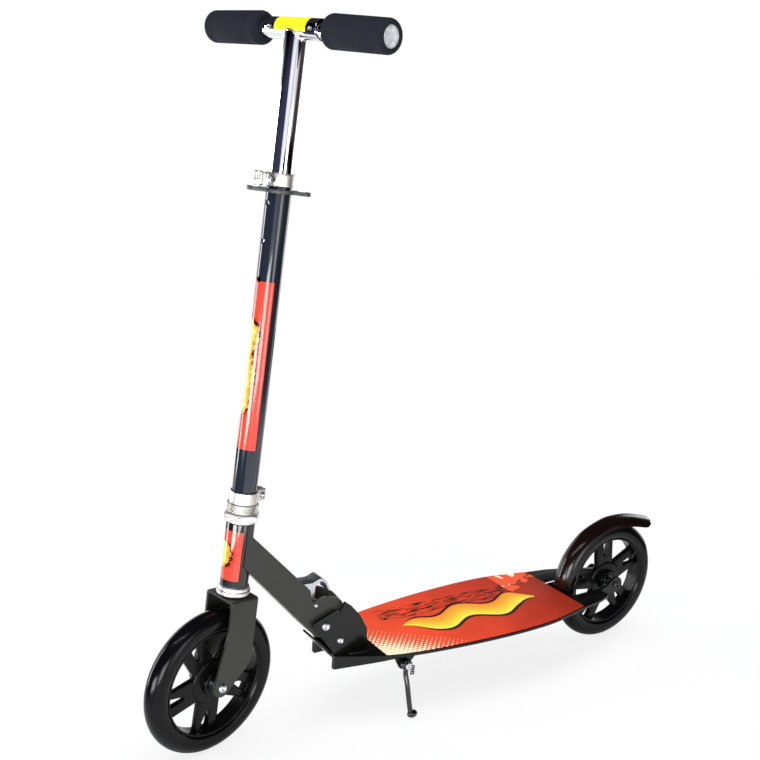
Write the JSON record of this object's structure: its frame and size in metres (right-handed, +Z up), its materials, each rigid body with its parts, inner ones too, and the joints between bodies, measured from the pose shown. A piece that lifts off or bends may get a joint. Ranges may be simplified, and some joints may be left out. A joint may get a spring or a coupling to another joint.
{
  "type": "folding kick scooter",
  "caption": "Folding kick scooter with a height-adjustable T-bar, pull-out foam grips, printed deck, sprung fender brake and kickstand.",
  "frame": {"origin": "on the floor, under the centre of the scooter's bounding box, with the scooter on its kickstand", "axes": "+X forward, +Y to the rider's left, +Z up; the scooter leans 7 degrees to its left on the kickstand"},
  "size_m": [0.913, 0.3398, 0.9494],
  "materials": {
    "black_paint": "satin black powder coat",
    "chrome": "polished chrome plate",
    "zinc_plate": "bright zinc plate",
    "bearing_steel": "ground bearing steel",
    "grip_print": "printed gritted grip film",
    "black_polyurethane": "glossy cast polyurethane",
    "black_nylon": "moulded nylon",
    "foam_rubber": "matt closed-cell foam",
    "grey_plastic": "moulded grey plastic"
  },
  "bodies": {
    "deck_frame": {"deck_tray": "black_paint", "grip_sheet": "grip_print", "spine_channel": "black_paint", "fold_plate_left": "black_paint", "fold_plate_right": "black_paint", "stop_plate": "black_paint", "pivot_bolt": "zinc_plate", "stop_bolt": "zinc_plate", "rear_fork_left": "black_paint", "rear_fork_right": "black_paint", "rear_spacer_left": "black_paint", "rear_spacer_right": "black_paint", "rear_axle_bolt": "black_paint", "brake_pin": "black_paint", "stand_bracket": "black_paint", "stand_pin": "zinc_plate"},
    "rear_brake": {"brake_fender": "black_nylon", "brake_spring": "zinc_plate"},
    "kickstand": {"stand_leg": "black_paint", "stand_spring": "zinc_plate"},
    "stem": {"neck_beam": "black_paint", "latch_pin": "zinc_plate", "head_tube": "black_paint", "lower_cup": "chrome", "lower_bearing": "bearing_steel", "upper_cup": "chrome", "upper_bearing": "bearing_steel"},
    "fold_latch": {"latch_lever": "zinc_plate", "latch_spring": "zinc_plate"},
    "steerer": {"fork": "black_paint", "front_axle_bolt": "zinc_plate", "front_spacer_left": "zinc_plate", "front_spacer_right": "zinc_plate", "head_nut": "chrome", "lock_ring": "chrome", "steering_column": "black_paint", "column_clamp": "chrome", "column_clamp_bolt": "zinc_plate", "clip_plate": "black_nylon", "upper_clamp": "chrome", "qr_skewer": "zinc_plate"},
    "quick_release": {"qr_lever": "chrome"},
    "front_wheel": {"front_tyre": "black_polyurethane", "front_core": "black_nylon", "front_bearing_left": "bearing_steel", "front_bearing_right": "bearing_steel"},
    "rear_wheel": {"rear_tyre": "black_polyurethane", "rear_core": "black_nylon", "rear_bearing_left": "bearing_steel", "rear_bearing_right": "bearing_steel"},
    "handlebar": {"t_bar": "chrome"},
    "height_button": {"height_button": "zinc_plate"},
    "grip_left": {"grip_bar_left": "zinc_plate", "foam_grip_left": "foam_rubber", "grip_plug_left": "grey_plastic"},
    "grip_right": {"grip_bar_right": "zinc_plate", "foam_grip_right": "foam_rubber", "grip_plug_right": "grey_plastic"},
    "grip_button_left": {"grip_button_left": "zinc_plate"},
    "grip_button_right": {"grip_button_right": "zinc_plate"}
  },
  "joints": [
    {"name": "stem_fold", "type": "hinge", "parent": "deck_frame", "child": "stem", "pos_m": [0.19823, -0.07668, 0.14911], "axis": [0, -0.9925, 0.1219], "range_deg": [0, 85]},
    {"name": "latch_release", "type": "hinge", "parent": "stem", "child": "fold_latch", "pos_m": [0.21174, -0.07296, 0.17939], "axis": [0, -0.9925, 0.1219], "range_deg": [0, 22], "stiffness_Nm_per_rad": 0.3, "springref_deg": -34.38},
    {"name": "steering", "type": "hinge", "parent": "stem", "child": "steerer", "pos_m": [0.33674, -0.08299, 0.0977], "axis": [-0.0785, 0.1215, 0.9895], "range_deg": [-102, 78]},
    {"name": "front_wheel_spin", "type": "hinge", "parent": "steerer", "child": "front_wheel", "pos_m": [0.35877, -0.07812, 0.09885], "axis": [-0.2073, 0.9689, -0.1354], "continuous": true},
    {"name": "rear_wheel_spin", "type": "hinge", "parent": "deck_frame", "child": "rear_wheel", "pos_m": [-0.35726, -0.08277, 0.09949], "axis": [0, 0.9925, -0.1219], "continuous": true},
    {"name": "bar_height", "type": "slide", "parent": "steerer", "child": "handlebar", "axis": [-0.0785, 0.1215, 0.9895], "range_m": [-0.145, 0]},
    {"name": "quick_release", "type": "hinge", "parent": "steerer", "child": "quick_release", "pos_m": [0.31042, -0.01314, 0.74273], "axis": [-0.0785, 0.1215, 0.9895], "range_deg": [0, 115]},
    {"name": "height_button_push", "type": "slide", "parent": "handlebar", "child": "height_button", "axis": [0.9751, 0.2157, 0.0508], "range_m": [-0.0027, 0], "stiffness_N_per_m": 400, "springref_m": 0.002},
    {"name": "grip_pull_left", "type": "slide", "parent": "handlebar", "child": "grip_left", "axis": [-0.2056, 0.9661, -0.1561], "range_m": [0, 0.04]},
    {"name": "grip_pull_right", "type": "slide", "parent": "handlebar", "child": "grip_right", "axis": [0.2089, -0.9712, 0.1146], "range_m": [0, 0.04]},
    {"name": "grip_button_push_left", "type": "slide", "parent": "grip_left", "child": "grip_button_left", "axis": [0.9751, 0.2157, 0.0508], "range_m": [-0.0027, 0], "stiffness_N_per_m": 400, "springref_m": 0.002},
    {"name": "grip_button_push_right", "type": "slide", "parent": "grip_right", "child": "grip_button_right", "axis": [0.9751, 0.2157, 0.0508], "range_m": [-0.0027, 0], "stiffness_N_per_m": 400, "springref_m": 0.002},
    {"name": "kickstand_swing", "type": "hinge", "parent": "deck_frame", "child": "kickstand", "pos_m": [0.08574, -0.02027, 0.07519], "axis": [0, 0.9925, -0.1219], "range_deg": [0, 88]},
    {"name": "brake_press", "type": "hinge", "parent": "deck_frame", "child": "rear_brake", "pos_m": [-0.24377, -0.08417, 0.08807], "axis": [0, -0.9925, 0.1219], "range_deg": [0, 1.3], "stiffness_Nm_per_rad": 4, "springref_deg": -5.73}
  ]
}
